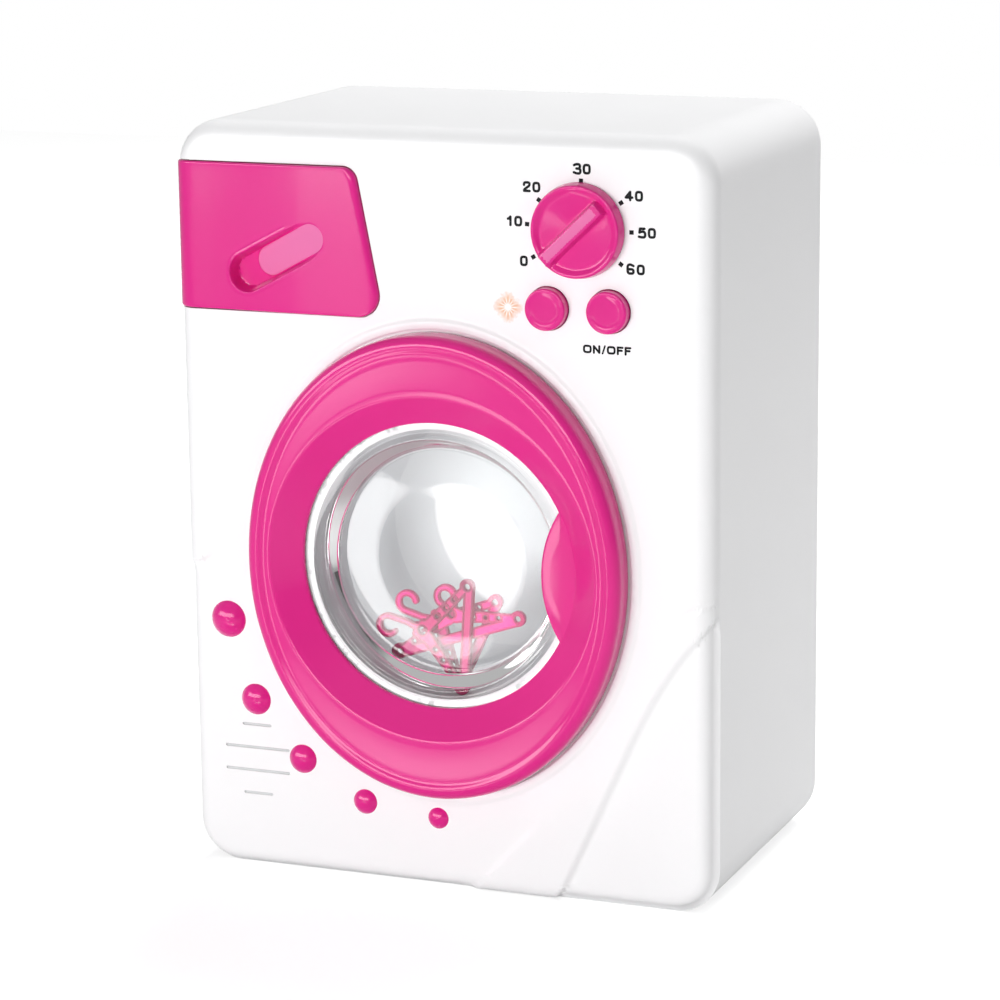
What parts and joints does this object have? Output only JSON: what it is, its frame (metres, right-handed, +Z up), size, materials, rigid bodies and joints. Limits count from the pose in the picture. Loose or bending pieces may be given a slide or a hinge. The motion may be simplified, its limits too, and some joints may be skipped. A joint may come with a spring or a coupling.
{
  "type": "toy washing machine",
  "caption": "Toy front-loading washing machine with a rounded box case, an oval hinged door with a round window, a turning drum with doll's hangers, a drawer, a knob and push buttons.",
  "frame": {"origin": "centre of the flat underside", "axes": "+Z up, -Y towards the front with the door, +X to the right as seen from the front"},
  "size_m": [0.1846, 0.128, 0.25],
  "materials": {
    "white_plastic": "glossy white moulded ABS",
    "pink_plastic": "glossy deep pink moulded ABS",
    "ring_plastic": "glossy pink moulded ABS",
    "hanger_plastic": "light pink moulded plastic",
    "clear_plastic": "clear polystyrene",
    "inner_plastic": "natural white ABS",
    "gear_plastic": "acetal",
    "steel": "zinc-plated steel",
    "brass": "turned brass",
    "motor_can": "drawn steel can",
    "dark_plastic": "black plastic",
    "board": "green circuit board",
    "lamp_plastic": "milky lamp lens",
    "cell_jacket": "plain printed film jacket",
    "wire_jacket": "PVC jacket"
  },
  "bodies": {
    "case": {"front_shell": "white_plastic", "rear_shell": "white_plastic", "tub": "inner_plastic", "tub_screws": "steel", "bearing_bush": "brass", "gear_plate": "inner_plastic", "gearbox_screws": "steel", "idler_pin": "steel", "motor": "motor_can", "motor_clamp": "inner_plastic", "drawer_housing": "inner_plastic", "housing_screws": "steel", "hinge_pin": "steel", "door_catch": "inner_plastic", "dome_1": "pink_plastic", "dome_2": "pink_plastic", "dome_3": "pink_plastic", "dome_4": "pink_plastic", "dome_5": "pink_plastic", "speaker": "dark_plastic", "speaker_clamp": "inner_plastic", "circuit_board": "board", "switches": "dark_plastic", "lamp": "lamp_plastic", "board_screws": "steel", "click_arm": "gear_plastic", "spring_light": "steel", "spring_power": "steel", "battery_box": "inner_plastic", "batteries": "cell_jacket", "battery_contacts": "steel", "case_screws": "steel", "wiring": "wire_jacket"},
    "door": {"door_frame": "ring_plastic", "door_window": "clear_plastic", "window_retainer": "inner_plastic", "retainer_screws": "steel"},
    "drum_unit": {"drum": "inner_plastic", "drum_axle": "steel", "drum_gear": "gear_plastic", "hanger_1": "hanger_plastic", "hanger_2": "hanger_plastic", "hanger_3": "hanger_plastic"},
    "drawer": {"drawer_front": "pink_plastic", "drawer_tray": "inner_plastic"},
    "dial": {"knob": "pink_plastic", "click_wheel": "gear_plastic", "knob_screw": "steel"},
    "light_switch": {"button_light": "pink_plastic"},
    "power_switch": {"button_power": "pink_plastic"},
    "idler": {"idler_gear": "gear_plastic"},
    "pinion": {"motor_pinion": "brass"},
    "cover": {"battery_cover": "white_plastic", "cover_screw": "steel"}
  },
  "joints": [
    {"name": "door_hinge", "type": "hinge", "parent": "case", "child": "door", "pos_m": [-0.062, -0.0635, 0.1095], "axis": [0, 0, -1], "range_deg": [0, 95]},
    {"name": "drum_spin", "type": "hinge", "parent": "case", "child": "drum_unit", "pos_m": [-0.0005, 0, 0.1095], "axis": [0, -1, 0], "continuous": true},
    {"name": "idler_spin", "type": "hinge", "parent": "case", "child": "idler", "pos_m": [-0.0005, 0, 0.12757], "axis": [0, -1, 0], "continuous": true},
    {"name": "pinion_spin", "type": "hinge", "parent": "case", "child": "pinion", "pos_m": [-0.0005, 0, 0.14265], "axis": [0, -1, 0], "continuous": true},
    {"name": "drawer_slide", "type": "slide", "parent": "case", "child": "drawer", "axis": [0, -1, 0], "range_m": [0, 0.04]},
    {"name": "knob_turn", "type": "hinge", "parent": "case", "child": "dial", "pos_m": [0.048, 0, 0.22], "axis": [0, -1, 0], "range_deg": [-83, 165]},
    {"name": "button_light_press", "type": "slide", "parent": "case", "child": "light_switch", "axis": [0, 1, 0], "range_m": [0, 0.0015], "stiffness_N_per_m": 200, "springref_m": -0.002, "deforming": ["spring_light"]},
    {"name": "button_power_press", "type": "slide", "parent": "case", "child": "power_switch", "axis": [0, 1, 0], "range_m": [0, 0.0015], "stiffness_N_per_m": 200, "springref_m": -0.002, "deforming": ["spring_power"]},
    {"name": "battery_cover_lift", "type": "slide", "parent": "case", "child": "cover", "axis": [0, 1, 0], "range_m": [0, 0.025]}
  ],
  "couplings": [
    {"joint": "idler_spin", "follows": "drum_spin", "ratio": -4},
    {"joint": "pinion_spin", "follows": "drum_spin", "ratio": 16}
  ]
}
